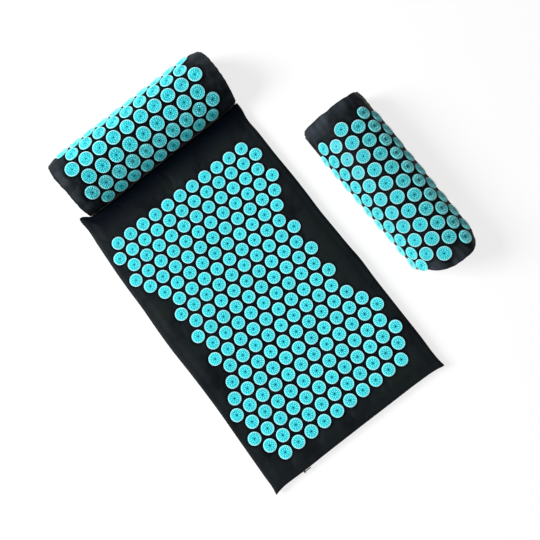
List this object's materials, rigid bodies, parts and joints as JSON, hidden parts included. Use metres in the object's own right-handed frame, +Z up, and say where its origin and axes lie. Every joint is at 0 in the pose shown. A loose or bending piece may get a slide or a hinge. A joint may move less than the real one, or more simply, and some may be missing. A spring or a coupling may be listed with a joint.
{
  "type": "acupressure mat with neck pillows",
  "caption": "Flat rectangular acupressure mat with an hourglass lattice of spiked discs, with two half-round neck pillows that carry the same discs; each cover has a zip.",
  "frame": {"origin": "centre of the mat's underside, on the floor", "axes": "+X across the mat towards the side pillow, +Y along the mat towards its head end and the head pillow, +Z up"},
  "size_m": [0.6514, 0.8459, 0.096],
  "materials": {
    "black_cotton": "matte woven cotton, black",
    "teal_plastic": "moulded ABS spike discs, teal, half gloss",
    "white_foam": "open-cell polyurethane foam, off-white",
    "black_zip_tape": "woven zip tape, black",
    "black_nylon": "moulded zip teeth, black",
    "grey_metal": "cast zip slider, grey"
  },
  "bodies": {
    "mat": {"mat_top_panel": "black_cotton", "mat_bottom_panel": "black_cotton", "mat_foam_core": "white_foam", "mat_zip_upper_tape": "black_zip_tape", "mat_zip_lower_tape": "black_zip_tape", "mat_zip_upper_teeth": "black_nylon", "mat_zip_lower_teeth": "black_nylon", "mat_zip_closed_stop": "black_nylon", "mat_zip_open_stop": "black_nylon"},
    "mat_zip_slider": {"mat_zip_slider": "grey_metal"},
    "mat_zip_pull": {"mat_zip_pull": "grey_metal"},
    "head_pillow": {"head_pillow_cover": "black_cotton", "head_pillow_left_end": "black_cotton", "head_pillow_right_end": "black_cotton", "head_pillow_base": "black_cotton", "head_pillow_foam_core": "white_foam", "head_pillow_zip_upper_tape": "black_zip_tape", "head_pillow_zip_lower_tape": "black_zip_tape", "head_pillow_zip_upper_teeth": "black_nylon", "head_pillow_zip_lower_teeth": "black_nylon", "head_pillow_zip_closed_stop": "black_nylon", "head_pillow_zip_open_stop": "black_nylon"},
    "head_pillow_zip_slider": {"head_pillow_zip_slider": "grey_metal"},
    "head_pillow_zip_pull": {"head_pillow_zip_pull": "grey_metal"},
    "side_pillow": {"side_pillow_cover": "black_cotton", "side_pillow_left_end": "black_cotton", "side_pillow_right_end": "black_cotton", "side_pillow_base": "black_cotton", "side_pillow_foam_core": "white_foam", "side_pillow_zip_upper_tape": "black_zip_tape", "side_pillow_zip_lower_tape": "black_zip_tape", "side_pillow_zip_upper_teeth": "black_nylon", "side_pillow_zip_lower_teeth": "black_nylon", "side_pillow_zip_closed_stop": "black_nylon", "side_pillow_zip_open_stop": "black_nylon"},
    "side_pillow_zip_slider": {"side_pillow_zip_slider": "grey_metal"},
    "side_pillow_zip_pull": {"side_pillow_zip_pull": "grey_metal"}
  },
  "joints": [
    {"name": "mat_zip_slide", "type": "slide", "parent": "mat", "child": "mat_zip_slider", "axis": [1, 0, 0], "range_m": [0, 0.2854]},
    {"name": "mat_zip_pull_hinge", "type": "hinge", "parent": "mat_zip_slider", "child": "mat_zip_pull", "pos_m": [-0.1427, -0.34615, 0.01], "axis": [0, 0, -1], "range_deg": [0, 180]},
    {"name": "head_pillow_lift_off", "type": "slide", "parent": "mat", "child": "head_pillow", "axis": [0, 0, 1], "range_m": [0, 0.15]},
    {"name": "head_pillow_zip_slide", "type": "slide", "parent": "head_pillow", "child": "head_pillow_zip_slider", "axis": [-0.9999, -0.0101, 0], "range_m": [0, 0.2654]},
    {"name": "head_pillow_zip_pull_hinge", "type": "hinge", "parent": "head_pillow_zip_slider", "child": "head_pillow_zip_pull", "pos_m": [0.15136, 0.4923, 0.00908], "axis": [0.0015, -0.15, -0.9887], "range_deg": [0, 180]},
    {"name": "side_pillow_lift_off", "type": "slide", "parent": "mat", "child": "side_pillow", "axis": [0, 0, 1], "range_m": [0, 0.15]},
    {"name": "side_pillow_zip_slide", "type": "slide", "parent": "side_pillow", "child": "side_pillow_zip_slider", "axis": [0.0082, 1, 0], "range_m": [0, 0.2654]},
    {"name": "side_pillow_zip_pull_hinge", "type": "hinge", "parent": "side_pillow_zip_slider", "child": "side_pillow_zip_pull", "pos_m": [0.43087, -0.13599, 0.00908], "axis": [-0.15, 0.0012, -0.9887], "range_deg": [0, 180]}
  ]
}
